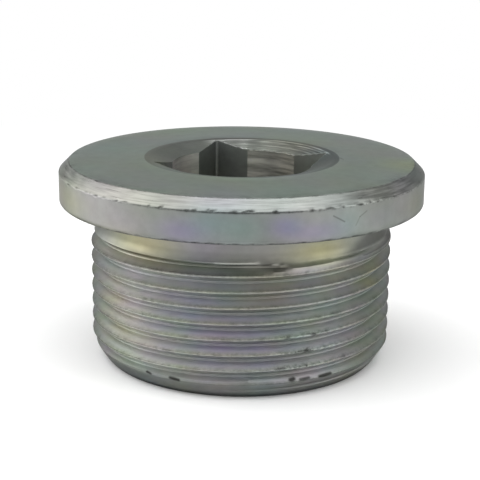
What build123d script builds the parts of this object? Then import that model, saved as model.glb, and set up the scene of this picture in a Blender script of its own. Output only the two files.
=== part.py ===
from build123d import *
import os
from math import radians, tan

# Collar plug with a square drive socket, turned from one steel bar.
# The plug stands on its threaded end: the origin is the centre of the end face, +Z points
# up through the collar, and the flats of the socket face along X and Y. Millimetres.

# Collar
COLLAR_DIAMETER = 36.0
COLLAR_THICKNESS = 4.0
COLLAR_CHAMFER = 1.0
COLLAR_EDGE_BREAK = 0.25       # chamfer round the foot of the collar
FACE_CROWN = 0.15              # rise of the top face from its rim to the socket mouth

# Threaded shank, M30 x 1.5, plain at its major diameter
THREAD_DIAMETER = 30.0
SHANK_LENGTH = 15.8            # from the end face to the sealing face under the collar
LEAD_DIAMETER = 27.7           # narrow end of the lead-in cone
LEAD_LENGTH = 2.1              # from the end face to the full diameter
TIP_CHAMFER = 0.35             # broken edge between the end face and the lead-in cone

# Neck between the thread and the sealing face: a land where the thread runs out, then a relief
THREAD_LENGTH = 10.0           # at full diameter
LAND_DIAMETER = 29.12
LAND_LENGTH = 1.0              # from the end of the thread, with the step down to the land
LAND_STEP_LENGTH = 0.1
RELIEF_DIAMETER = 28.4
RELIEF_RUN_IN = 0.55           # height of the sloping wall that leads from the land to the relief
RELIEF_RUN_IN_RADIUS = 2.0
RELIEF_CORNER_RADIUS = 0.4

# Socket for a half-inch square drive
SQUARE_ACROSS_FLATS = 12.75
SQUARE_DEPTH = 10.0            # below the rim of the top face
SQUARE_CORNER_RADIUS = 0.25
PILOT_DIAMETER = 13.8          # a little wider than the flats, so it scallops each of them
PILOT_DEPTH = 12.0
DRILL_POINT_ANGLE = 118.0
COUNTERSINK_DIAMETER = 18.2
COUNTERSINK_SLOPE = 19.0       # degrees down from level
MOUTH_EDGE_RADIUS = 1.0

# Derived heights and radii
RIM_HEIGHT = SHANK_LENGTH + COLLAR_THICKNESS
CROWN_HEIGHT = RIM_HEIGHT + FACE_CROWN
COLLAR_RADIUS = COLLAR_DIAMETER / 2
THREAD_RADIUS = THREAD_DIAMETER / 2
LAND_RADIUS = LAND_DIAMETER / 2
RELIEF_RADIUS = RELIEF_DIAMETER / 2
LEAD_RADIUS = LEAD_DIAMETER / 2
PILOT_RADIUS = PILOT_DIAMETER / 2
COUNTERSINK_RADIUS = COUNTERSINK_DIAMETER / 2


def outside_corners():
    """Corners of the turned outside from the end face up to the top face, each with its radius."""
    thread_end = LEAD_LENGTH + THREAD_LENGTH
    land_end = thread_end + LAND_LENGTH
    return [
        ((LEAD_RADIUS - TIP_CHAMFER, 0), 0),
        ((LEAD_RADIUS, TIP_CHAMFER), 0),
        ((THREAD_RADIUS, LEAD_LENGTH), 0),
        ((THREAD_RADIUS, thread_end), 0),
        ((LAND_RADIUS, thread_end + LAND_STEP_LENGTH), 0),
        ((LAND_RADIUS, land_end), 0),
        ((RELIEF_RADIUS, land_end + RELIEF_RUN_IN), RELIEF_RUN_IN_RADIUS),
        ((RELIEF_RADIUS, SHANK_LENGTH), RELIEF_CORNER_RADIUS),
        ((COLLAR_RADIUS - COLLAR_EDGE_BREAK, SHANK_LENGTH), 0),
        ((COLLAR_RADIUS, SHANK_LENGTH + COLLAR_EDGE_BREAK), 0),
        ((COLLAR_RADIUS, RIM_HEIGHT - COLLAR_CHAMFER), 0),
        ((COLLAR_RADIUS - COLLAR_CHAMFER, RIM_HEIGHT), 0),
    ]


def pilot_corners():
    """Corners of the drilled pilot from the countersink down to the drill's point."""
    countersink_fall = (COUNTERSINK_RADIUS - PILOT_RADIUS) * tan(radians(COUNTERSINK_SLOPE))
    pilot_floor = RIM_HEIGHT - PILOT_DEPTH
    point_length = PILOT_RADIUS / tan(radians(DRILL_POINT_ANGLE / 2))
    return [
        ((COUNTERSINK_RADIUS, CROWN_HEIGHT), MOUTH_EDGE_RADIUS),
        ((PILOT_RADIUS, CROWN_HEIGHT - countersink_fall), 0),
        ((PILOT_RADIUS, pilot_floor), 0),
        ((0, pilot_floor - point_length), 0),
    ]


def turned_body():
    """The half section on the lathe, spun once round the axis."""
    corners = [((0, 0), 0)] + outside_corners() + pilot_corners()
    points = [Vector(radius, height) for (radius, height), _ in corners]
    corner_radii = [corner_radius for _, corner_radius in corners]
    outline = FilletPolyline(*points, radius=corner_radii, close=True)
    half_section = Plane.XZ * make_face(outline)
    return revolve(half_section, axis=Axis.Z)


def square_broach():
    """The square that the broach opens out of the pilot, down to its chip ledge."""
    ledge_height = RIM_HEIGHT - SQUARE_DEPTH
    square = RectangleRounded(SQUARE_ACROSS_FLATS, SQUARE_ACROSS_FLATS, SQUARE_CORNER_RADIUS)
    return extrude(Plane.XY.offset(ledge_height) * square, amount=CROWN_HEIGHT - ledge_height)


def plug_body():
    """The finished plug: the turned body less the broached square."""
    return turned_body() - square_broach()


if __name__ == "__main__":
    os.makedirs("parts", exist_ok=True)
    plug = plug_body()
    plug.label = "plug_body"
    export_step(plug, "parts/plug_body.step")
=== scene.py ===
"""A collar plug with a square drive socket, in zinc-plated steel with an M30 x 1.5 thread.

The whole plug is one turned body, so one mesh carries it: a profile that runs from the centre
of the end face, up the thread and the collar, over the top and down the socket, spun round the
axis. The thread's rows climb as a helix, so its crests and roots are true edges of the mesh.

Lengths are in metres, or in millimetres where a comment says so. Angles about the axis are in
degrees from the start angle, and positive to the right as the camera sees the plug.
"""
import math

import bpy
import numpy as np
from bpy.props import FloatProperty, FloatVectorProperty, PointerProperty
from mathutils import Matrix, Vector


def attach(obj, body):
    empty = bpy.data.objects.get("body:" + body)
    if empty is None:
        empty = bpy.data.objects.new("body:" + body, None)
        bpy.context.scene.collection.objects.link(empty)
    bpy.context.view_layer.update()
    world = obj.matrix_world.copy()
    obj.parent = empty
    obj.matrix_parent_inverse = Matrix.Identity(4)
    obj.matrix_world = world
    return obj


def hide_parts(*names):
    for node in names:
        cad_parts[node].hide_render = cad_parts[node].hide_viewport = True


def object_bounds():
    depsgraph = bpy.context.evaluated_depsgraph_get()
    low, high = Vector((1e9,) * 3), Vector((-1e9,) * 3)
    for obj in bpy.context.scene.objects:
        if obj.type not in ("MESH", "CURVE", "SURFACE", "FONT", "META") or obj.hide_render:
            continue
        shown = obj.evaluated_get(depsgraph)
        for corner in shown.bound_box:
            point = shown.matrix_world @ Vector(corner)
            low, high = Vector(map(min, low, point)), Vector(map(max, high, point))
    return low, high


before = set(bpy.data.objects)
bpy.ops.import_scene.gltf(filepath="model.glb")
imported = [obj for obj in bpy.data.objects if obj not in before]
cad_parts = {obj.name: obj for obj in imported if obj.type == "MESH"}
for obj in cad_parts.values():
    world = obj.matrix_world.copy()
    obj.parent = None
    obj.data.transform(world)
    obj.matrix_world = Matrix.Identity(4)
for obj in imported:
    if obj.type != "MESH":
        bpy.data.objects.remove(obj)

bl_info = {
    "name": "Collar Plug",
    "version": (1, 0, 0),
    "blender": (4, 5, 0),
    "location": "3D View > Sidebar > Plug",
    "description": "Builds a zinc-plated collar plug with a square drive socket, and its stage",
    "category": "Add Mesh",
}

MM = 0.001
FULL_TURN = 2 * math.pi
CAD_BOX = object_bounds()
NODE = "plug_body"


# --- settings ---

def measure(name, description, default, unit="LENGTH"):
    """A setting that holds a length or an angle."""
    return FloatProperty(name=name, description=description, default=default, unit=unit)


def slider(name, description, default, most=1):
    """A setting from 0 to a limit."""
    return FloatProperty(
        name=name, description=description, default=default, min=0, max=most, subtype="FACTOR")


class PlugBodySettings(bpy.types.PropertyGroup):
    """Sizes of the turned body, in metres from the centre of its end face."""

    collar_radius: measure("Collar Radius", "Outside radius of the collar", CAD_BOX[1][0])
    sealing_height: measure("Sealing Face Height", "Height of the face under the collar", 15.8 * MM)
    rim_height: measure("Rim Height", "Height of the top face at its rim", 19.8 * MM)
    chamfer: measure(
        "Collar Chamfer", "Width of the chamfer round the top of the collar", 1.03 * MM)
    crown: measure("Face Crown", "Rise of the top face from its rim to the socket", 0.14 * MM)
    thread_radius: measure("Thread Radius", "Radius over the crests of the thread", 14.93 * MM)
    root_radius: measure("Root Radius", "Radius at the roots of the thread", 14.12 * MM)
    pitch: measure("Pitch", "Rise of the thread in one turn", 1.5 * MM)
    crest_height: measure(
        "Top Crest Height", "Height of the last full crest at the start angle", 12.03 * MM)
    start_angle: measure(
        "Start Angle", "Angle about the axis at which the crest height holds",
        math.radians(-62.44), "ROTATION")
    half_flats: measure("Half Across Flats", "Half the width of the square socket", 6.375 * MM)
    pilot_radius: measure(
        "Pilot Radius", "Radius of the bore that the square is broached from", 6.9 * MM)
    mouth_radius: measure(
        "Mouth Radius", "Radius at which the countersink meets the top face", 9.1 * MM)
    mouth_slope: measure(
        "Mouth Slope", "Slope of the countersink down from level", math.radians(19), "ROTATION")
    socket_depth: measure("Socket Depth", "Depth of the square below the rim", 10 * MM)
    pilot_depth: measure("Pilot Depth", "Depth of the pilot bore below the rim", 12 * MM)


class PlugFinishSettings(bpy.types.PropertyGroup):
    """Colours and gloss of the zinc plating."""

    zinc: FloatVectorProperty(
        name="Zinc", description="Colour of the plated steel",
        default=(0.262, 0.275, 0.258), size=3, min=0, max=1, subtype="COLOR")
    roughness: slider("Roughness", "How dull the turned faces are", 0.36)
    thread_roughness: slider("Thread Roughness", "How dull the thread is", 0.46)
    edge_gloss: slider("Edge Gloss", "How bright the metal is when seen at a grazing angle", 0.43)
    tint: slider("Tint", "Strength of the faint rainbow in the plating", 1, 2)
    wear: slider("Wear", "How dark the chips along the edges are", 0.92)
    chip_colour: FloatVectorProperty(
        name="Chip Colour", description="Colour of the chips, dents and scratches",
        default=(0.02, 0.02, 0.018), size=3, min=0, max=1, subtype="COLOR")


class PlugStageSettings(bpy.types.PropertyGroup):
    """Camera, lamps and floor."""

    camera_distance: measure("Camera Distance", "Distance of the camera from the axis", 128.2 * MM)
    camera_height: measure("Camera Height", "Height of the camera above the end face", 46.85 * MM)
    camera_angle: measure(
        "Camera Angle", "Where the camera stands about the axis", math.radians(-62.44), "ROTATION")
    camera_turn: FloatVectorProperty(
        name="Camera Turn", description="Turn away from the axis, tilt down, and lean of the camera",
        default=[math.radians(angle) for angle in (-0.044, 15.471, -0.619)], size=3, unit="ROTATION")
    lens: FloatProperty(
        name="Lens", description="Focal length in millimetres on a 36 mm sensor",
        default=99.24, min=1, unit="CAMERA")
    overhead_glow: FloatProperty(
        name="Overhead Glow", description="Brightness of the soft lamp above, where 1 is white paper",
        default=1.9, min=0)
    side_glow: FloatProperty(
        name="Side Glow", description="Brightness of the lamps at the sides, where 1 is white paper",
        default=1.6, min=0)
    dome: FloatProperty(
        name="Room", description="Brightness of the room above the backdrop, where 1 is white paper",
        default=0.42, min=0, max=1)
    backdrop: FloatVectorProperty(
        name="Backdrop", description="Colour of the floor and the background",
        default=(1.0, 1.0, 1.0), size=3, min=0, max=1, subtype="COLOR")


# --- mesh of the plug ---

COLUMNS = 512  # steps round the axis; a multiple of 16 keeps the socket's edges
WELD = 1e-7  # points closer than this are one

# The shank before its thread is cut, from the end face up: height and radius in mm.
SHANK_OUTLINE = ((0.35, 13.85), (2.1, 15), (12.62, 15), (13, 14.53), (15.4, 14.53))
END_FLAT = 13.5 * MM  # radius of the flat of the end face
END_EDGE = (13.62 * MM, 0.1 * MM)  # a point on the end face's broken edge: radius and height
THREAD_BOTTOM, THREAD_TOP = 0.35 * MM, 13.25 * MM  # heights between which the rows climb
NECK_ROWS = (14.6, 15, 15.4)  # heights in mm of the plain rows of the relief
NECK_RADIUS = 14.2 * MM  # radius of the relief under the collar
SWEEP_BOTTOM, SWEEP_TOP = 12.99 * MM, 14.2 * MM  # heights between which the land sweeps into it
SWEEP_RADIUS, SWEEP_DROP = 2.17 * MM, 1.15 * MM  # radius of the sweep, and its greatest height
CORNER = 0.4 * MM  # radius between the relief and the sealing face

# The thread, as shares of its pitch up from a crest: rows of the mesh, then the groove's outline
# as distance from the nearest crest and share of its full depth.
THREAD_STEPS = (0, 0.05, 0.22, 0.38, 0.43, 0.5, 0.57, 0.68, 0.8, 0.95)
GROOVE_OUTLINE = ((0.05, 0), (0.43, 0.96), (0.5, 1))
RUN_OUT = (2, 22)  # degrees past the last full crest between which the groove fades
RUN_OUT_LIFT = 0.62 * MM  # how far the tool has drawn back by then
TAIL = (16, 46)  # degrees between which it draws back slowly
TAIL_LIFT = 0.02 * MM  # how far it does so in each degree

# Points of the collar's two outer edges, in mm: in from its side, and up from the sealing face or
# from the lower edge of the chamfer.
FOOT_EDGE = ((0.28, 0), (0.16, 0.03), (0.07, 0.09), (0.02, 0.17), (0, 0.26), (0, 0.36), (0, 0.5))
CHAMFER_EDGE = ((0, -0.25), (0, -0.16), (0, -0.09), (0.01, -0.02), (0.05, 0.05))
DENT_DEPTH = 0.075 * MM  # how deep a dent of strength 1 is
DEEPEST_DENT = 1.3  # no dent is stronger than this

MOUTH_BREAK = 0.55 * MM  # the top face starts to fall this far outside the mouth radius
MOUTH_ROWS = 33  # rows of the countersink
MOUTH_BLEND = 0.1 * MM  # softness of the countersink's outer border
RING_SPACING = 0.4 * MM  # distance between the rings that the tool left in it
TORN_CENTRE = math.radians(92)  # angle from the X axis of the side where the cut tore
BURR = 0.01 * MM  # height of the burr that the broach raised
SOCKET_CORNER = 0.25 * MM  # radius of the square's corners
WALL_STEPS = (0.01, 0.035, 0.06, 0.08, 0.1, 0.2, 0.4, 0.7, 1)  # rows down the square's walls
DRILL_HALF_ANGLE = math.radians(59)  # half angle of the drill point under the pilot bore

# Dents in the edges of the collar: angle in degrees, half length in mm and strength.
CHAMFER_DENTS = (
    (-58, 0.30, 0.9), (-52, 0.16, 0.7), (-43.5, 0.2, 0.8), (-27, 0.13, 1), (-23.2, 0.16, 1),
    (-13, 0.2, 0.9), (-2, 0.35, 0.7), (9.5, 0.2, 1), (20, 0.22, 0.9), (25.5, 0.36, 1.3),
    (29.9, 0.2, 1.1), (36, 0.4, 1.2), (40, 0.2, 1))
FOOT_DENTS = (
    (-31, 0.2, 0.7), (-22, 0.3, 0.8), (-17, 0.2, 0.6), (-12.5, 0.3, 1), (-8.8, 0.25, 1.2),
    (-6, 0.35, 1.1), (-1.5, 0.3, 0.9), (3.2, 0.16, 1.2), (8.5, 0.35, 0.9), (17.5, 0.3, 0.7),
    (25.2, 0.4, 0.9), (30.4, 0.3, 1.1), (34.3, 0.35, 0.8))
CHAMFER_DENTS_MORE, FOOT_DENTS_MORE = 70, 22  # small dents at random round each edge


def column_turns():
    """Turns about the axis of every column, with the first repeated at the end."""
    return np.arange(COLUMNS + 1) / COLUMNS


def waves(turns, lowest, highest, seed):
    """Smooth noise of about -1 to 1 that repeats every turn, made of that many waves a turn."""
    random = np.random.default_rng(seed)
    total = np.zeros_like(turns, dtype=float)
    for count in range(lowest, highest + 1):
        phase = random.uniform(0, FULL_TURN)
        height = random.uniform(0.4, 1)
        total += height * np.sin(FULL_TURN * count * turns + phase)
    return total / math.sqrt(highest - lowest + 1)


def smooth_step(value, low, high):
    """0 below low, 1 above high, and a smooth rise between them."""
    share = np.clip((value - low) / (high - low), 0, 1)
    return share * share * (3 - 2 * share)


def window(value, rise_from, rise_to, fall_from, fall_to):
    """1 between the inner two limits, 0 outside the outer two, and smooth between them."""
    return smooth_step(value, rise_from, rise_to) * (1 - smooth_step(value, fall_from, fall_to))


def bump_at(value, centre, width):
    """A smooth bump of height 1 about the centre."""
    return np.exp(-((value - centre) / width) ** 2)


def read_off(value, knots):
    """The height of the line through the knots, each given as (value, height)."""
    return np.interp(value, *zip(*knots))


def dents(body, turns, heights, edge_height, chosen, count, seed):
    """Depth, 0 to about 1, of the dents in an edge: the chosen ones, and small ones at random."""
    random = np.random.default_rng(seed)
    spots = []
    for angle, length, strength in chosen:
        centre = body.start_angle / FULL_TURN + angle / 360
        spots.append((centre, length * MM, 0.10 * MM, strength, 0))
    for _ in range(count):
        length = 0.08 * MM + 0.5 * MM * random.uniform() ** 4
        spots.append((random.uniform(0, 1), length, random.uniform(0.04, 0.09) * MM,
                      random.uniform(0.15, 0.9), random.normal(0, 0.05) * MM))
    depth = np.zeros(np.broadcast(turns, heights).shape)
    for centre, length, height, strength, lift in spots:
        along = ((turns - centre + 0.5) % 1 - 0.5) * FULL_TURN * body.collar_radius
        across = heights - edge_height - lift
        depth += strength * np.exp(-(along / length) ** 4 - (across / height) ** 2)
    return depth


def collar_dents(body, turns, heights):
    """Depth of the dents in both edges of the collar's side."""
    foot_height = body.sealing_height + 0.12 * MM
    chamfer_height = body.rim_height - body.chamfer + 0.02 * MM
    foot = dents(body, turns, heights, foot_height, FOOT_DENTS, FOOT_DENTS_MORE, 11)
    return foot + dents(body, turns, heights, chamfer_height, CHAMFER_DENTS, CHAMFER_DENTS_MORE, 12)


def shank_radius(heights):
    """Radius of the shank before the thread is cut: lead-in cone, thread, land and relief."""
    turned = read_off(heights / MM, SHANK_OUTLINE) * MM
    below = np.clip(SWEEP_TOP - heights, 0, SWEEP_DROP)
    relief = NECK_RADIUS + SWEEP_RADIUS - np.sqrt(SWEEP_RADIUS ** 2 - below ** 2)
    return np.where(heights > SWEEP_BOTTOM, np.minimum(turned, relief), turned)


def thread_place(body, turns, heights):
    """Angle from the start angle, in turns, and height above the top crest, in pitches."""
    around = (turns - body.start_angle / FULL_TURN + 0.5) % 1 - 0.5
    return around, (heights - body.crest_height) / body.pitch - around


def thread_radius(body, turns, heights):
    """Radius of the threaded shank at each point, with the groove fading out below the relief."""
    around, lines = thread_place(body, turns, heights)
    from_crest = np.abs(lines - np.round(lines))
    past_crest = (np.floor(lines) + around) * 360
    lift = RUN_OUT_LIFT * smooth_step(past_crest, *RUN_OUT)
    lift += TAIL_LIFT * (np.clip(past_crest, *TAIL) - TAIL[0])
    depth = body.thread_radius - body.root_radius
    groove = read_off(from_crest, GROOVE_OUTLINE) * depth
    crest_line = np.round(lines) + around
    fuzz = 0.016 * MM * waves(crest_line, 60, 170, 5) + 0.012 * MM * waves(crest_line, 3, 14, 6)
    fuzz *= smooth_step(from_crest, 0.12, 0)
    cut = body.thread_radius + fuzz - np.maximum(groove - lift, 0)
    return np.minimum(shank_radius(heights), cut)


def thread_grid(body):
    """Radii and heights of the threaded length: rows that climb round the axis with the thread."""
    turns = column_turns()
    around = turns - body.start_angle / FULL_TURN
    lowest = math.floor((THREAD_BOTTOM - body.crest_height) / body.pitch - 2)
    highest = math.ceil((THREAD_TOP - body.crest_height) / body.pitch + 2)
    lines = [line + step for line in range(lowest, highest) for step in THREAD_STEPS]
    heights = body.crest_height + body.pitch * (np.array(lines)[:, None] + around)
    heights = np.clip(heights, THREAD_BOTTOM, THREAD_TOP)
    return thread_radius(body, np.broadcast_to(turns, heights.shape), heights), heights


def lathe_grid(points):
    """Radii and heights of a plain turned stretch through the given (radius, height) points."""
    return np.array(points).T[:, :, None] * np.ones(COLUMNS + 1)


def between(start, end, count):
    """Points evenly spaced from start to end, both included."""
    return [tuple(point) for point in np.linspace(start, end, count + 1)]


def end_grid():
    """The end face, from its centre out over its broken edge to the foot of the thread."""
    points = between((0, 0), (END_FLAT, 0), 3)
    foot = (SHANK_OUTLINE[0][1] * MM, SHANK_OUTLINE[0][0] * MM)
    return lathe_grid(points + [END_EDGE, foot])


def neck_grid():
    """The relief, from the top of the thread's rows to just under the collar."""
    heights = np.concatenate((np.linspace(THREAD_TOP / MM, SWEEP_TOP / MM, 7), NECK_ROWS)) * MM
    return lathe_grid(list(zip(shank_radius(heights), heights)))


def collar_grid(body):
    """The collar, from the relief's corner out along the sealing face, up and over the chamfer."""
    outer, foot, rim = body.collar_radius, body.sealing_height, body.rim_height
    side_top = rim - body.chamfer
    points = []
    for angle in (0, 30, 60, 90):
        lean = math.radians(angle)
        out, down = CORNER * (1 - math.cos(lean)), CORNER * (1 - math.sin(lean))
        points.append((NECK_RADIUS + out, foot - down))
    points.append((16.2 * MM, foot))
    points += [(outer - inset * MM, foot + rise * MM) for inset, rise in FOOT_EDGE]
    points += between((outer, foot + 0.8 * MM), (outer, side_top - 0.5 * MM), 3)
    points += [(outer - inset * MM, side_top + rise * MM) for inset, rise in CHAMFER_EDGE]
    inner = outer - body.chamfer
    points += between((outer - 0.12 * MM, side_top + 0.13 * MM), (inner + 0.1 * MM, rim - 0.1 * MM), 5)
    points += [(inner + 0.02 * MM, rim - 0.03 * MM), (inner - 0.06 * MM, rim)]
    radii, heights = lathe_grid(points)
    depth = collar_dents(body, column_turns()[None, :], heights)
    depth = depth * smooth_step(radii, outer - 0.6 * MM, outer - 0.2 * MM)
    return radii - DENT_DEPTH * np.minimum(depth, DEEPEST_DENT), heights


def top_grid(body):
    """The crowned top face, from its rim to where it starts to fall into the socket's mouth."""
    outer = (body.collar_radius - body.chamfer - 0.06 * MM, body.rim_height)
    inner = (body.mouth_radius + MOUTH_BREAK, body.rim_height + body.crown)
    return lathe_grid(between(outer, inner, 6))


def socket_radius(body):
    """Distance from the axis to the socket's wall at every column: the bore, or the square."""
    quarter = math.pi / 2
    local = (column_turns() * FULL_TURN + quarter / 2) % quarter - quarter / 2
    side = body.half_flats / np.cos(local)
    centre = (body.half_flats - SOCKET_CORNER) * math.sqrt(2)
    from_corner = quarter / 2 - np.abs(local)
    inside = np.clip(SOCKET_CORNER ** 2 - (centre * np.sin(from_corner)) ** 2, 0, None)
    rounded = centre * np.cos(from_corner) + np.sqrt(inside)
    on_corner = centre * np.sin(from_corner) < SOCKET_CORNER * math.sqrt(0.5)
    square = np.where(on_corner, np.minimum(side, rounded), side)
    return np.maximum(body.pilot_radius, square)


def torn_side(turns):
    """1 on the side of the socket where the cut tore and left rough rings, 0 on the other side."""
    return smooth_step(np.cos(FULL_TURN * turns - TORN_CENTRE), 0.57, 0.72)


def countersink_height(body, turns, radii):
    """Height of the turned countersink: its slope, its soft mouth and the rings of the tool."""
    drop = (body.mouth_radius - radii) * math.tan(body.mouth_slope)
    height = body.rim_height + body.crown - 0.5 * (drop + np.sqrt(drop ** 2 + MOUTH_BLEND ** 2))
    ring = np.sin(FULL_TURN * radii / RING_SPACING + 1.3 * waves(turns, 2, 9, 21))
    chatter = 1 + 0.5 * waves(turns, 12, 40, 22)
    inside = body.mouth_radius + MOUTH_BREAK - radii
    depth = 0.015 * MM * (0.2 + torn_side(turns)) * smooth_step(inside, 0.3 * MM, 0.8 * MM)
    return height + 0.006 * MM + depth * ring * chatter


def socket_edge(body, turns, wall):
    """Height of the socket's edge, with the burr that the broach raised."""
    return countersink_height(body, turns, wall) + BURR * np.abs(1 + waves(turns, 20, 80, 31))


def socket_grid(body):
    """The countersink down to the socket's edge, the broached walls, the ledge, bore and point."""
    turns = column_turns()
    ones = np.ones_like(turns)
    wall = socket_radius(body)
    edge = socket_edge(body, turns, wall)
    start = body.mouth_radius + MOUTH_BREAK
    rows = [(start * ones, (body.rim_height + body.crown) * ones)]
    for share in np.arange(1, MOUTH_ROWS) / MOUTH_ROWS:
        radius = start + (wall - start) * share
        rows.append((radius, countersink_height(body, turns, radius)))
    rows.append((wall, edge))
    ledge = body.rim_height - body.socket_depth
    rows += [(wall, edge * (1 - share) + ledge * share) for share in WALL_STEPS]
    floor = body.rim_height - body.pilot_depth
    point = body.pilot_radius / math.tan(DRILL_HALF_ANGLE)
    for share, height in ((1, ledge), (1, floor), (0.6, floor - 0.4 * point), (0, floor - point)):
        rows.append((body.pilot_radius * share * ones, height * ones))
    return np.array(rows).swapaxes(0, 1)


def closed_mesh(grids):
    """Joins strips of rings, each with its radii and heights, and welds them into one triangle mesh."""
    radii, heights = (np.concatenate(rows) for rows in zip(*grids))
    turns = FULL_TURN * column_turns()
    points = np.stack((radii * np.cos(turns), radii * np.sin(turns), heights), axis=-1).reshape(-1, 3)
    index = np.arange(radii.size).reshape(radii.shape)
    corners = (index[:-1, :-1], index[:-1, 1:], index[1:, 1:], index[1:, :-1])
    a, b, c, d = (corner.ravel() for corner in corners)
    faces = np.concatenate((np.stack((a, b, c), axis=1), np.stack((a, c, d), axis=1)))
    keys = np.round(points / WELD).astype(np.int64)
    _, first, welded = np.unique(keys, axis=0, return_index=True, return_inverse=True)
    faces = welded.reshape(-1)[faces]
    whole = (faces != np.roll(faces, 1, axis=1)).all(axis=1)
    return points[first], faces[whole]


# --- marks on the plating, and painted light and shading ---

# Where the plating shows a colour: angle, half width in degrees, height, half height in mm, strength.
PATCHES = {
    "gold": ((-41, 17, 14, 1.5, 1), (58, 7, 10.9, 0.4, 0.6), (57, 6, 9.5, 0.4, 0.5),
             (30, 13, 13.9, 1.2, 1), (-54, 12, 7, 4.5, 0.35), (-66, 22, 17.3, 1.6, 0.3),
             (64, 14, 17.3, 1.6, 0.25)),
    "lilac": ((-17, 7, 16.9, 1.1, 2), (12, 4.5, 17.5, 0.9, 1.9), (21, 8, 16.8, 0.8, 1.5),
              (0, 15, 14.6, 1.2, 0.5), (-34, 8, 17, 1.2, 0.5), (44, 8, 17.2, 1, 0.4)),
    "teal": ((-9, 6, 17.8, 1.2, 1.2), (1, 7, 17.5, 1.6, 1.5), (14.5, 3.5, 17.4, 0.7, 1),
             (31.5, 4.5, 17.2, 1.4, 0.8))}
# Painted light and shading round the thread and round the collar's side: angle and level.
THREAD_LEVELS = (
    (-110, 0.95), (-80, 0.8), (-62, 0.93), (-45, 1.1), (-30, 0.97), (0, 0.95), (20, 0.9), (50, 0.9),
    (75, 0.93))
SIDE_LEVELS = (
    (-130, 1), (-60, 1.45), (-47, 1.27), (-27, 0.94), (-13, 0.86), (0, 0.79), (6, 0.77), (14, 0.87),
    (20, 0.97), (34, 1), (46, 0.86), (60, 1.03))
# Painted light and shading of the thread's parts by the share of the pitch above a crest, dimming
# the crests and roots and lighting the flanks: the lower flank alone, then how much of a point is
# crest, root or the flank under the next crest.
FLANK_PAINTED_LIGHT = ((0, 0), (0.05, 0.98), (0.22, 1.22), (0.38, 1.2), (0.43, 1.13), (0.5, 0), (0.57, 0))
CREST_SHARE = ((0, 1), (0.05, 0), (0.95, 0), (1, 1))
ROOT_SHARE = ((0.43, 0), (0.5, 1), (0.57, 0))
UNDER_SHARE = ((0.5, 0), (0.57, 1), (0.95, 0.85), (1, 0))
WORN_SHARE = ((0, 1), (0.05, 0.9), (0.22, 0), (0.6, 0), (0.95, 0.6), (1, 1))
# Painted shading along the thread's upper edge: angle, half width in degrees and share.
UPPER_EDGE_PAINTED_SHADING = ((15, 5, 0.35), (-38, 12, 0.3), (-1, 8, 0.33))

# Painted highlights along the rings on the torn side of the countersink: radius in mm and strength.
RING_HIGHLIGHTS = ((9, 1.5), (8.62, 1.05), (8.2, 0.55), (7.86, 0.8), (7.45, 0.4), (7.15, 0.5))
RING_WIDTH = 0.085 * MM  # half width of such a line
# Painted shading down the walls under the edge, on the torn side: depth in mm and level.
WALL_LEVELS = ((0, 1), (0.1, 0.5), (0.6, 0.55), (0.8, 1.15), (1, 1))
TOP_PAINTED_LIGHT = 1.62  # painted light that makes the top face brighter
HAIR = 0.001 * MM  # slack in telling which face a point of the mesh is on


def patches(around, heights, chosen):
    """Strength of the chosen patches; each shows again on the far side of the plug."""
    total = np.zeros_like(around)
    for angle, width, height, tall, strength in chosen:
        apart = (around - angle + 90) % 180 - 90
        total += strength * bump_at(apart, 0, width) * bump_at(heights, height * MM, tall * MM)
    return total


def ring_highlights(turns, radii):
    """Painted highlights on the tool's rings round the countersink, broken here and there."""
    total = np.zeros_like(radii)
    for line, (radius, strength) in enumerate(RING_HIGHLIGHTS):
        centre = radius * MM + 0.05 * MM * waves(turns, 2, 6, 50 + line)
        broken = np.clip(0.8 + 0.4 * waves(turns, 8, 30, 60 + line), 0.1, 1.3)
        total += strength * broken * bump_at(radii, centre, RING_WIDTH)
    return total


def thread_marks(around, heights, above):
    """Painted light, lilac, gold and chips of the thread; above is the pitch's share from a crest up."""
    left, right = bump_at(around, -32, 20), bump_at(around, 30, 17)
    painted_light = read_off(above, FLANK_PAINTED_LIGHT)
    painted_light += read_off(above, CREST_SHARE) * (0.6 + 0.12 * left + 0.55 * right)
    painted_light += read_off(above, ROOT_SHARE) * (0.82 + 0.35 * left + 0.3 * right)
    painted_light += read_off(above, UNDER_SHARE) * (1.85 + 0.7 * left + 0.4 * right)
    painted_light *= read_off(around, THREAD_LEVELS)
    front = bump_at(around, -6, 30) * bump_at(heights, 6.5 * MM, 5 * MM)
    lilac = 1.9 * bump_at(above, 0.3, 0.13) * front
    at_crest = read_off(above, WORN_SHARE)
    gold = 0.12 * at_crest * bump_at(around, -5, 40) + 0.22 * bump_at(above, 0.1, 0.08) * front
    low_right = bump_at(around, 25, 14) * (1 - smooth_step(heights, 5 * MM, 9 * MM))
    return painted_light, lilac, gold, at_crest * (0.4 + 0.8 * low_right)


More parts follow.
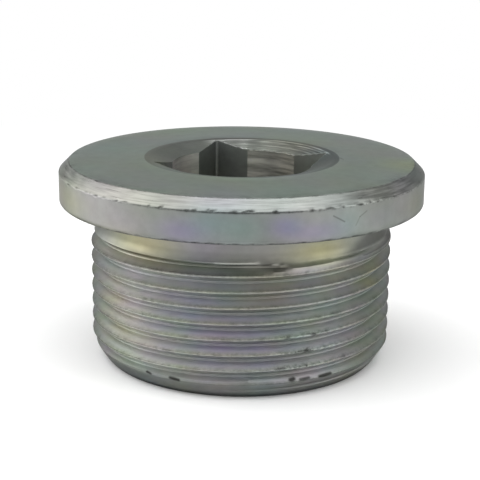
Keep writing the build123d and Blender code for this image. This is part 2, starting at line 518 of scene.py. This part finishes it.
def socket_marks(body, turns, heights, radii):
    """Marks of the socket: painted light and shading, the torn side's cut, and highlights on rings and
    burr.
    """
    columns = column_turns()
    walls = socket_radius(body)
    wall = np.interp(turns, columns, walls)
    edge = np.interp(turns, columns, socket_edge(body, columns, walls))
    at_wall = radii > wall - HAIR
    on_wall = at_wall & (heights < edge - HAIR)
    on_edge = at_wall & (np.abs(heights - edge) <= HAIR)
    in_arc = wall < body.pilot_radius + HAIR
    torn = torn_side(turns)
    angle = turns * 360
    facing = smooth_step(np.cos(FULL_TURN * turns - body.start_angle - math.radians(30)), -0.35, 0.3)
    beside = bump_at((turns - body.start_angle / FULL_TURN) % 1, 0.23, 0.1)

    # Painted light and shading of the socket: ring and burr highlights, the lit arcs, the darker walls.
    slope = 1.04 - 0.06 * torn + 1.7 * torn * ring_highlights(turns, radii) + 0.05 * facing - 0.33 * beside
    slope = slope * (1 - 0.12 * bump_at(angle, 112, 9))
    arc = 2.9 - torn * (2.4 - 1.9 * read_off((edge - heights) / MM, WALL_LEVELS))
    burr = 3.2 + 2 * waves(turns, 30, 90, 34) + 3.5 * bump_at(angle, 128, 12)
    painted_light = np.where(on_wall, np.where(in_arc, arc, 1.3), slope)
    return {
        "painted_light": np.where(on_edge, 1.4 + torn * burr, painted_light),
        "cut": np.where(on_wall, np.where(in_arc, 0.3 + 0.6 * torn, 0.1), 0.6 * torn),
        "gold": np.where(on_wall, 0.3 * in_arc, 0.14 * (1 - facing)),
        "lilac": np.where(on_wall, 0.6 * in_arc, 0.12 * torn),
        "teal": np.where(on_wall, 0, 0.15 + 0.65 * facing),
        "chip": 0}


class PlatingMarks:
    """The marks that the finish reads, with a value of each at every point of the mesh.

    Painted light brightens the metal where light would fall and darkens it into painted shading where
    it would not; gold, lilac and teal tint it; chip, nick and cut say how much the plating is chipped
    along the edges, dented, and torn by the tool, and cut also sets painted shading across torn rings.
    """

    def __init__(self, body, points):
        self.body = body
        self.radii = np.hypot(points[:, 0], points[:, 1])
        self.heights = points[:, 2]
        self.turns = np.arctan2(points[:, 1], points[:, 0]) / FULL_TURN % 1
        share, self.lines = thread_place(body, self.turns, self.heights)
        self.around = share * 360
        self.side_top = body.rim_height - body.chamfer
        self.on_side = self.radii > body.collar_radius - 0.25 * MM
        self.on_shank = self.radii > 13.9 * MM
        within = self.radii < body.mouth_radius + MOUTH_BREAK - 0.01 * MM
        self.in_socket = within & (self.heights > 3 * MM)
        plain = np.zeros_like(self.radii)
        self.values = {"painted_light": plain + 1, "chip": plain, "cut": plain, "nick": self.nicks()}
        for name, chosen in PATCHES.items():
            self.values[name] = patches(self.around, self.heights, chosen)
        self.mark_thread()
        self.mark_collar()
        self.mark_neck()
        self.mark_upper_edge()
        self.cover(self.in_socket, socket_marks(body, self.turns, self.heights, self.radii))
        self.mark_top()

    def near(self, angle, width):
        """A bump round the axis, in degrees."""
        return bump_at(self.around, angle, width)

    def band(self, *limits):
        """A window of heights, in mm."""
        return window(self.heights / MM, *limits)

    def brighten(self, amount):
        """Raises the painted light by a share of itself; a negative share lowers it into painted
        shading.
        """
        self.values["painted_light"] = self.values["painted_light"] * (1 + amount)

    def add(self, name, amount):
        """Adds to another mark."""
        self.values[name] = self.values[name] + amount

    def cover(self, where, marks):
        """Puts new values in place of the marks in one region."""
        for name, value in marks.items():
            self.values[name] = np.where(where, value, self.values[name])

    def nicks(self):
        """The dents of the collar's edges, which show dark."""
        depth = np.clip(collar_dents(self.body, self.turns, self.heights) * self.on_side, 0, 1)
        return depth * np.where(self.heights < 17 * MM, 0.6, 1)

    def mark_thread(self):
        """The thread's painted light, with painted shading on the lead-in and end face and a painted
        highlight.
        """
        fade = self.band(1.2, 2.2, 12.6, 12.85) * (self.radii > 13.5 * MM)
        above = self.lines - np.floor(self.lines)
        painted_light, lilac, gold, chip = thread_marks(self.around, self.heights, above)
        self.brighten((painted_light - 1) * fade)
        # Painted shading on the lead-in cone and at the end face.
        lead_in = (1 - smooth_step(self.heights, 1.2 * MM, 2.4 * MM)) * (self.radii > 13 * MM)
        self.brighten(-0.2 * lead_in)
        self.brighten(-0.35 * (1 - smooth_step(self.heights, 0.3 * MM, 0.5 * MM)))
        # A painted highlight band on the last turn, to the right.
        bright = fade * (self.lines > 0.05) * self.near(30, 11)
        self.brighten(0.25 * bright)
        self.add("lilac", lilac * fade + 0.4 * bright)
        self.add("gold", gold * fade * (1 - bright))
        self.add("teal", 0.5 * chip * fade * self.near(32, 15))
        self.add("chip", chip * fade)

    def mark_collar(self):
        """The collar: chipped edges, and painted light and shading on its chamfer, edges and side."""
        body, heights, radii = self.body, self.heights, self.radii
        chamfer_line = bump_at(heights, self.side_top - 0.05 * MM, 0.07 * MM) * self.on_side
        foot_line = bump_at(heights, body.sealing_height + 0.1 * MM, 0.09 * MM) * self.on_side
        rim_line = bump_at(radii, body.collar_radius - body.chamfer, 0.06 * MM)
        rim_line = rim_line * (heights > body.rim_height - 0.1 * MM)
        # A painted dark line under the chamfer; the same line also carries chips.
        self.brighten(-0.5 * chamfer_line * self.near(-3, 32))
        self.add("chip", chamfer_line * (0.25 + 0.5 * smooth_step(self.around, -52, -25)))
        self.add("chip", 0.7 * foot_line + 0.6 * rim_line)

        chamfer = smooth_step(heights, self.side_top, self.side_top + 0.1 * MM) * (radii > 16.9 * MM)
        # Painted highlight and painted shading on the chamfer.
        self.brighten(0.12 * chamfer * (self.near(-44, 12) - self.near(-16, 12)))
        self.brighten(-0.2 * chamfer * window(self.around, 48, 72, 100, 130))
        self.add("lilac", 0.42 * chamfer * self.near(-36, 17))
        self.add("gold", 0.22 * chamfer * self.near(-36, 17))

        # Painted light and shading round the collar's side.
        side = self.on_side * smooth_step(heights, 16 * MM, 16.2 * MM) * (heights < self.side_top)
        self.brighten(side * (read_off(self.around, SIDE_LEVELS) - 1))
        self.add("lilac", 0.5 * side * self.near(-48, 14))
        self.add("gold", 0.08 * side * self.near(-40, 10))
        # A painted dark band at the foot of the side.
        tall = 0.2 * MM + 0.05 * MM * waves(self.turns, 8, 30, 42)
        foot = bump_at(heights, body.sealing_height + 0.14 * MM, tall)
        foot = foot * (radii > body.collar_radius - 0.2 * MM)
        self.brighten(-foot * np.clip(0.32 + 0.16 * waves(self.turns, 12, 50, 41), 0, 0.7))

    def mark_neck(self):
        """The relief: painted shading and tints, with painted light on its foot ahead."""
        neck = self.band(13, 13.2, 15.7, 15.8)
        self.brighten(-neck * (0.13 + 0.2 * self.near(-3, 17)))
        self.add("lilac", 0.8 * neck * self.near(-16, 9))
        self.add("gold", 0.16 * neck * self.near(-4, 14))
        foot = self.band(12.8, 13, 13.25, 13.9) * self.on_shank
        self.brighten(0.6 * foot * window(self.around, -46, -26, 18, 26))

    def mark_upper_edge(self):
        """Painted light and shading on the thread's last groove, upper edge and run-out into the relief.
        """
        groove = smooth_step(self.lines, 0.03, 0.1) * window(self.around, -90, -66, 18, 26)
        groove = groove * (1 - smooth_step(self.heights, 12.8 * MM, 12.95 * MM)) * self.on_shank
        self.brighten(groove * (0.1 + 0.12 * self.near(-48, 26)))
        self.add("gold", 0.12 * groove)
        edge = self.band(12.7, 12.85, 13.05, 13.2) * self.on_shank
        for angle, width, share in UPPER_EDGE_PAINTED_SHADING:
            self.brighten(-share * edge * self.near(angle, width))
        lip = bump_at(self.heights, 12.7 * MM, 0.16 * MM) * self.on_shank
        self.brighten(-0.38 * lip * window(self.around, -75, -50, -8, 4))
        step = self.band(12, 12.2, 13.05, 13.2) * self.on_shank
        self.brighten(-0.3 * step * self.near(13, 5))
        shoulder = bump_at(self.heights, 12.9 * MM, 0.16 * MM) * self.on_shank
        shoulder = shoulder * smooth_step(self.around, 10, 22)
        self.brighten(shoulder * (0.6 * self.near(30, 14) + 1.6 * self.near(58, 15)))
        climbed = self.around - 11 * (self.heights / MM - 13.3)
        run_out = self.band(12.15, 12.3, 14.2, 14.6) * self.on_shank * smooth_step(climbed, 38, 50)
        self.brighten(-0.4 * run_out * (1 - smooth_step(self.around, 80, 110)))

    def mark_top(self):
        """The even top face, with painted light that makes it brighter, and a trace of gold at its rim.
        """
        on_top = (self.heights > self.body.rim_height - HAIR) & ~self.in_socket
        rim_gold = 0.5 * self.near(80, 12) * smooth_step(self.radii, 12 * MM, 16 * MM)
        self.cover(on_top, {"painted_light": TOP_PAINTED_LIGHT, "gold": 0.1 + rim_gold, "lilac": 0, "teal": 0.8})


def new_object(name, data):
    """A new object in the scene."""
    item = bpy.data.objects.new(name, data)
    bpy.context.scene.collection.objects.link(item)
    return item


def build_plug(body):
    """The whole plug as one mesh object, with its marks as attributes of the mesh."""
    points, faces = closed_mesh([end_grid(), thread_grid(body), neck_grid(), collar_grid(body),
                                 top_grid(body), socket_grid(body)])
    mesh = bpy.data.meshes.new("plug")
    mesh.from_pydata(points.tolist(), [], faces.tolist())
    mesh.update()
    for name, values in PlatingMarks(body, points).values.items():
        attribute = mesh.attributes.new(name, "FLOAT", "POINT")
        attribute.data.foreach_set("value", values.astype(np.float32))
    mesh.shade_smooth()
    mesh.set_sharp_from_angle(angle=math.radians(32))
    return new_object("plug", mesh)


# --- finishes ---

# Scratches and pits, each between two points given as angle, radius and height in mm, then the
# half width in mm and how dark it is.
SCARS = (
    ((26.7, 18, 18.09), (30.4, 18, 17.45), 0.1, 0.45),
    ((38.3, 18, 18.1), (35.8, 18, 17.68), 0.09, 0.35),
    ((35.8, 18, 17.68), (34.4, 18, 16.95), 0.09, 0.25),
    ((85, 10, 19.93), (89, 9.65, 19.93), 0.09, 0.6),
    ((-26.2, 14.66, 1.66), (-22.8, 14.64, 1.55), 0.26, 1),
    ((-36.6, 14.6, 1.69), (-34.8, 14.65, 1.58), 0.2, 1),
    ((18.8, 14.65, 1.89), (20, 14.6, 1.94), 0.3, 1),
    ((22.6, 14.76, 1.83), (26, 14.73, 1.86), 0.24, 0.9),
    ((30.5, 14.79, 1.79), (35.4, 14.76, 1.86), 0.27, 1),
    ((23.5, 14.83, 4.48), (26.8, 14.9, 4.55), 0.12, 0.8),
    ((21.4, 14.93, 4.64), (22.2, 14.93, 4.66), 0.1, 0.6),
    ((24.8, 14.91, 6.22), (25.6, 14.91, 6.22), 0.1, 0.6))
SCAR_CORE = 0.3  # a scar is at its darkest within this share of its half width

# How far each tint moves red, green and blue: two slow drifts, given by the scale and the seed of
# their noise, and the tints that the mesh carries.
DRIFTS = ((170, 2, (0.06, -0.03, 0.035)), (130, 8, (0.03, 0.02, -0.08)))
TINTS = (("gold", (0.37, 0.24, -0.19)), ("lilac", (-0.01, -0.07, 0.12)), ("teal", (-0.10, 0.02, 0.01)))

NICK_DARKNESS = 0.7  # how dark the deepest dent is
BUMP_HEIGHT = 0.012 * MM  # height of the finest marks in the surface
PAPER_NEAR, PAPER_FAR = 0.06, 0.13  # metres from the axis over which the paper turns into backdrop
MIX_FIRST, MIX_SECOND, MIX_RESULT = 6, 7, 2  # the colour sockets of a Mix node


class NodeKit:
    """Short ways to add and link shader nodes of a material or a world."""

    def __init__(self, owner):
        owner.use_nodes = True
        self.tree = owner.node_tree
        self.tree.nodes.clear()

    def add(self, kind, inputs=None, **settings):
        node = self.tree.nodes.new(kind)
        for name, value in settings.items():
            setattr(node, name, value)
        for name, value in (inputs or {}).items():
            self.feed(node.inputs[name], value)
        return node

    def feed(self, socket, value):
        if isinstance(value, bpy.types.NodeSocket):
            self.tree.links.new(value, socket)
        else:
            socket.default_value = value

    def math(self, operation, *values, clamp=False):
        inputs = dict(enumerate(values))
        return self.add("ShaderNodeMath", inputs, operation=operation, use_clamp=clamp).outputs[0]

    def vector(self, operation, *values):
        node = self.add("ShaderNodeVectorMath", dict(enumerate(values)), operation=operation)
        return node.outputs["Value" if operation in ("DOT_PRODUCT", "LENGTH") else "Vector"]

    def times(self, first, *others):
        for other in others:
            first = self.math("MULTIPLY", first, other)
        return first

    def plus(self, first, *others):
        for other in others:
            first = self.math("ADD", first, other)
        return first

    def span(self, value, low, high, to_low=0, to_high=1):
        return self.add("ShaderNodeMapRange", {"Value": value, "From Min": low, "From Max": high,
                                               "To Min": to_low, "To Max": to_high}).outputs["Result"]

    def swing(self, noise, amount, margin=0.3):
        """The noise turned into a value from minus the amount to the amount."""
        return self.span(noise, margin, 1 - margin, -amount, amount)

    def noise(self, vector, scale, detail, roughness, seed=None):
        inputs = {"Vector": vector, "Scale": scale, "Detail": detail, "Roughness": roughness}
        if seed is not None:
            inputs["W"] = seed
        kind = "3D" if seed is None else "4D"
        return self.add("ShaderNodeTexNoise", inputs, noise_dimensions=kind).outputs["Fac"]

    def mark(self, name):
        return self.add("ShaderNodeAttribute", attribute_name=name).outputs["Fac"]

    def mix(self, factor, first, second):
        inputs = {"Factor": factor, MIX_FIRST: first, MIX_SECOND: second}
        return self.add("ShaderNodeMix", inputs, data_type="RGBA").outputs[MIX_RESULT]

    def finish(self, shader, kind="ShaderNodeOutputMaterial"):
        """Links a shader to the output."""
        self.tree.links.new(shader, self.add(kind).inputs["Surface"])


class ZincKit(NodeKit):
    """The nodes of the zinc finish, with the noises that its colour, gloss and relief share."""

    def __init__(self, material, finish):
        super().__init__(material)
        self.settings = finish
        self.place = self.add("ShaderNodeTexCoord").outputs["Object"]
        parts = self.add("ShaderNodeSeparateXYZ", {"Vector": self.place}).outputs
        x, y, self.height = parts["X"], parts["Y"], parts["Z"]
        self.radius = self.math("SQRT", self.plus(self.times(x, x), self.times(y, y)))
        safe = self.math("MAXIMUM", self.radius, 0.1 * MM)
        self.cosine = self.math("DIVIDE", x, safe)
        self.sine = self.math("DIVIDE", y, safe)
        self.threaded = self.span(self.height, 13 * MM, 12.6 * MM)
        self.on_chamfer = self.times(self.span(self.height, 18.75 * MM, 18.85 * MM),
                                     self.span(self.radius, 16.8 * MM, 17 * MM))
        self.streaks = self.plus(0.25, self.times(self.on_chamfer, 1.8))
        self.chip, self.cut = self.mark("chip"), self.mark("cut")
        self.tool_marks = self.lathe_noise(6, 5200, 2, 3)
        self.coarse_rings = self.lathe_noise(1.8, 2600, 2, 9)
        self.spots = self.noise(self.place, 900, 3, 0.6)

    def lathe_noise(self, around, along, detail, seed):
        """Noise drawn out round the axis: its scale round the plug, and along or in towards the axis."""
        vector = self.add("ShaderNodeCombineXYZ", {
            "X": self.times(self.cosine, around), "Y": self.times(self.sine, around),
            "Z": self.times(self.height, along)}).outputs[0]
        return self.noise(vector, 1, detail, 0.6, seed=self.plus(self.times(self.radius, along), seed))

    def drift(self, scale, seed):
        """A slow change of tint, with bands along the thread."""
        wide = self.swing(self.noise(self.place, scale, 1, 0.5, seed=seed), 0.6)
        bands = self.swing(self.lathe_noise(4, 900, 1.5, seed + 5), 0.7)
        return self.times(self.plus(wide, self.times(bands, self.threaded)), self.settings.tint)

    def plated_colour(self):
        """Colour of the sound plating: the mesh's painted light, made uneven and streaked, and the
        tints.
        """
        # Spots and ragged chips make the painted light uneven; the chamfer gets painted streaks of
        # highlight, the torn rings painted light and shading.
        ragged = self.times(self.swing(self.noise(self.place, 2600, 3, 0.65), 0.45, 0.35), self.chip)
        streaky = self.times(self.swing(self.tool_marks, 0.22, 0.35), self.on_chamfer)
        torn = self.times(self.swing(self.coarse_rings, 0.45, 0.35), self.cut)
        painted_light = self.mark("painted_light")
        for change in (self.swing(self.spots, 0.06), ragged, streaky, torn):
            painted_light = self.times(painted_light, self.plus(1, change))
        tints = [(self.drift(scale, seed), weights) for scale, seed, weights in DRIFTS]
        tints += [(self.mark(name), weights) for name, weights in TINTS]
        channels = {}
        for index, name in enumerate(("Red", "Green", "Blue")):
            total = self.plus(1, *(self.times(share, weights[index]) for share, weights in tints))
            channels[name] = self.times(total, self.settings.zinc[index], painted_light)
        return self.add("ShaderNodeCombineColor", channels).outputs[0]

    def scars(self, start_angle):
        """1 in the scratches and pits, 0 elsewhere: how near each point is to one of their lines."""
        total = 0
        for start, end, width, strength in SCARS:
            ends = []
            for angle, radius, height in (start, end):
                turned = start_angle + math.radians(angle)
                ends.append(Vector((radius * math.cos(turned), radius * math.sin(turned), height)) * MM)
            run = ends[1] - ends[0]
            offset = self.vector("SUBTRACT", self.place, tuple(ends[0]))
            dot = self.vector("DOT_PRODUCT", offset, tuple(run))
            share = self.math("DIVIDE", dot, run.length_squared, clamp=True)
            along = self.add("ShaderNodeVectorMath", {0: tuple(run), "Scale": share}, operation="SCALE")
            distance = self.vector("LENGTH", self.vector("SUBTRACT", offset, along.outputs[0]))
            near = self.span(distance, width * MM, SCAR_CORE * width * MM, 0, strength)
            total = self.plus(total, near)
        return total

    def worn_places(self, start_angle):
        """1 where the plating is chipped, dented or scratched, 0 where it is sound."""
        flecks = self.span(self.noise(self.place, 1000, 5, 0.75), 0.5, 0.58)
        sparse = self.span(self.noise(self.place, 420, 2, 0.6), 0.42, 0.58)
        nicks = self.times(self.mark("nick"), NICK_DARKNESS)
        worn = self.plus(self.times(self.chip, flecks, sparse), nicks)
        return self.math("ADD", worn, self.scars(start_angle), clamp=True)

    def roughness(self):
        """Duller on the thread, and streaky where the tool left its marks."""
        settings = self.settings
        dull = self.span(self.threaded, 0, 1, settings.roughness, settings.thread_roughness)
        clouds = self.swing(self.noise(self.place, 150, 1.5, 0.5), 0.03)
        return self.plus(self.times(self.swing(self.tool_marks, 0.05), self.streaks), dull, clouds)

    def relief(self, worn):
        """Height of the finest marks: the tool's, the torn rings, the grain and the chips."""
        grain = self.times(self.noise(self.place, 5200, 2, 0.5), 0.25)
        turned = self.times(self.tool_marks, self.streaks, 0.6)
        torn = self.times(self.coarse_rings, self.cut, 3.5)
        height = self.plus(turned, torn, grain, self.times(self.spots, 0.5))
        return self.math("SUBTRACT", height, worn)


def zinc_material(finish, start_angle):
    """Bright zinc plating with faint tints, chipped edges, nicks and scratches."""
    material = bpy.data.materials.new("zinc_plated_steel")
    kit = ZincKit(material, finish)
    worn = kit.worn_places(start_angle)
    colour = kit.mix(kit.times(worn, finish.wear), kit.plated_colour(), (*finish.chip_colour, 1))
    bump = kit.add("ShaderNodeBump", {
        "Strength": 0.5, "Distance": BUMP_HEIGHT, "Height": kit.relief(worn)})
    shader = kit.add("ShaderNodeBsdfPrincipled", {
        "Base Color": colour, "Metallic": 1, "Roughness": kit.roughness(),
        "Normal": bump.outputs["Normal"], "Specular Tint": (*[finish.edge_gloss] * 3, 1)})
    kit.finish(shader.outputs["BSDF"])
    return material


def floor_material(colour):
    """Pale plain paper that takes the shadow near the plug and is plain backdrop further out."""
    material = bpy.data.materials.new("floor_paper")
    kit = NodeKit(material)
    place = kit.add("ShaderNodeTexCoord").outputs["Object"]
    ray = kit.add("ShaderNodeLightPath").outputs
    seen = kit.math("MAXIMUM", ray["Is Camera Ray"], ray["Is Glossy Ray"])
    seen = kit.math("MAXIMUM", seen, ray["Is Transmission Ray"])
    share = kit.times(kit.span(kit.vector("LENGTH", place), PAPER_NEAR, PAPER_FAR), seen)
    paper = kit.add("ShaderNodeBsdfPrincipled", {
        "Base Color": (*colour, 1), "Roughness": 0.9, "Specular IOR Level": 0.2})
    backdrop = kit.add("ShaderNodeEmission", {"Color": (*colour, 1), "Strength": 1})
    mixed = kit.add("ShaderNodeMixShader", {
        0: share, 1: paper.outputs["BSDF"], 2: backdrop.outputs["Emission"]})
    kit.finish(mixed.outputs["Shader"])
    return material


# --- stage ---

FLOOR_HALF = 2.0  # half the floor's width in metres
FLOOR_DROP = 0.02 * MM  # how far the floor lies under the end face
WHITE_UP_TO, ROOM_FROM = 0.19, 0.36  # height on the unit sphere where the white ends and the room begins
LAMP_AIM = Vector((0, 0, 0.015))  # the lamps face this point
SENSOR_WIDTH = 36  # mm
UP = Vector((0, 0, 1))

# Soft lamps: name, how far ahead of the plug as the camera looks, across to the right and up,
# then width and height, all in metres, and the setting that holds its brightness.
LAMPS = (("overhead", (-0.065, -0.05, 0.35), (0.70, 0.37), "overhead_glow"),
         ("left", (0.13, -0.46, 0.19), (0.56, 0.34), "side_glow"),
         ("right", (-0.16, 0.45, 0.27), (0.36, 0.36), "side_glow"))


def build_floor(settings):
    """A wide floor under the plug."""
    corners = [(x * FLOOR_HALF, y * FLOOR_HALF, 0) for x, y in ((-1, -1), (1, -1), (1, 1), (-1, 1))]
    mesh = bpy.data.meshes.new("floor")
    mesh.from_pydata(corners, [], [(0, 1, 2, 3)])
    mesh.materials.append(floor_material(settings.backdrop))
    floor = new_object("floor", mesh)
    floor.location.z = -FLOOR_DROP


def build_world(scene, settings):
    """White surroundings up to a little above the horizon, and a greyer room above them."""
    world = bpy.data.worlds.new("studio")
    kit = NodeKit(world)
    direction = kit.add("ShaderNodeTexCoord").outputs["Generated"]
    rise = kit.add("ShaderNodeSeparateXYZ", {"Vector": direction}).outputs["Z"]
    room = tuple(part * settings.dome for part in settings.backdrop)
    colour = kit.mix(kit.span(rise, WHITE_UP_TO, ROOM_FROM), (*settings.backdrop, 1), (*room, 1))
    background = kit.add("ShaderNodeBackground", {"Color": colour, "Strength": 1})
    kit.finish(background.outputs["Background"], "ShaderNodeOutputWorld")
    scene.world = world


def looking(settings):
    """Level directions ahead and to the right, as the camera looks."""
    ahead = -Vector((math.cos(settings.camera_angle), math.sin(settings.camera_angle), 0))
    return ahead, Vector((ahead.y, -ahead.x, 0))


def placed(name, data, turned, place):
    """A lamp or the camera at a place, turned by its own directions right, up and back."""
    item = new_object(name, data)
    item.matrix_world = Matrix.Translation(place) @ Matrix(turned).transposed().to_4x4()
    return item


def build_lamps(settings):
    """A broad soft lamp overhead and one low on each side."""
    ahead, across = looking(settings)
    for name, (forward, sideways, rise), (width, height), glow in LAMPS:
        place = ahead * forward + across * sideways + UP * rise
        back = (place - LAMP_AIM).normalized()
        level = across if name == "overhead" else UP.cross(back)
        top = back.cross(level).normalized()
        lamp = bpy.data.lights.new(name, "AREA")
        lamp.shape = "RECTANGLE"
        lamp.size = width
        lamp.size_y = height
        lamp.energy = getattr(settings, glow) * math.pi * width * height
        item = placed(name, lamp, (top.cross(back).normalized(), top, back), place)
        item.visible_camera = False


def build_camera(scene, settings):
    """The camera, placed by its angle about the axis, its distance and its height."""
    ahead, across = looking(settings)
    yaw, pitch, lean = settings.camera_turn
    level = ahead * math.cos(yaw) + across * math.sin(yaw)
    view = level * math.cos(pitch) - UP * math.sin(pitch)
    right = level.cross(UP)
    top = right.cross(view)
    right, top = (right * math.cos(lean) - top * math.sin(lean),
                  right * math.sin(lean) + top * math.cos(lean))
    camera = bpy.data.cameras.new("camera")
    camera.lens = settings.lens
    camera.sensor_width = SENSOR_WIDTH
    place = UP * settings.camera_height - ahead * settings.camera_distance
    scene.camera = placed("camera", camera, (right, top, -view), place)


# --- operators ---

class PLUG_OT_build_body(bpy.types.Operator):
    """Build the plug: thread, collar and socket in one mesh, with its zinc finish"""

    bl_idname = "plug.build_body"
    bl_label = "Build Plug Body"

    def execute(self, context):
        body = context.scene.plug_body
        plug = build_plug(body)
        plug.data.materials.append(zinc_material(context.scene.plug_finish, body.start_angle))
        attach(plug, "root")
        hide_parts(NODE)
        return {"FINISHED"}


class PLUG_OT_build_stage(bpy.types.Operator):
    """Build the stage: pale floor, soft lamps, white surroundings and the camera"""

    bl_idname = "plug.build_stage"
    bl_label = "Build Stage"

    def execute(self, context):
        settings = context.scene.plug_stage
        build_floor(settings)
        build_world(context.scene, settings)
        build_lamps(settings)
        build_camera(context.scene, settings)
        context.scene.view_settings.view_transform = "Standard"
        return {"FINISHED"}


class PLUG_PT_panel(bpy.types.Panel):
    """Lists the plug's operators in the sidebar."""

    bl_idname = "PLUG_PT_panel"
    bl_label = "Collar Plug"
    bl_space_type = "VIEW_3D"
    bl_region_type = "UI"
    bl_category = "Plug"

    def draw(self, context):
        self.layout.operator(PLUG_OT_build_body.bl_idname)
        self.layout.operator(PLUG_OT_build_stage.bl_idname)


CLASSES = (PlugBodySettings, PlugFinishSettings, PlugStageSettings,
           PLUG_OT_build_body, PLUG_OT_build_stage, PLUG_PT_panel)


def register():
    """Add the classes, and the plug's settings to every scene."""
    for item in CLASSES:
        bpy.utils.register_class(item)
    bpy.types.Scene.plug_body = PointerProperty(type=PlugBodySettings)
    bpy.types.Scene.plug_finish = PointerProperty(type=PlugFinishSettings)
    bpy.types.Scene.plug_stage = PointerProperty(type=PlugStageSettings)


def unregister():
    """Take the settings and the classes away again."""
    del bpy.types.Scene.plug_stage
    del bpy.types.Scene.plug_finish
    del bpy.types.Scene.plug_body
    for item in reversed(CLASSES):
        bpy.utils.unregister_class(item)


def main():
    """Register the add-on and build everything in order."""
    register()
    bpy.ops.plug.build_body()
    bpy.ops.plug.build_stage()


if __name__ == "__main__":
    main()
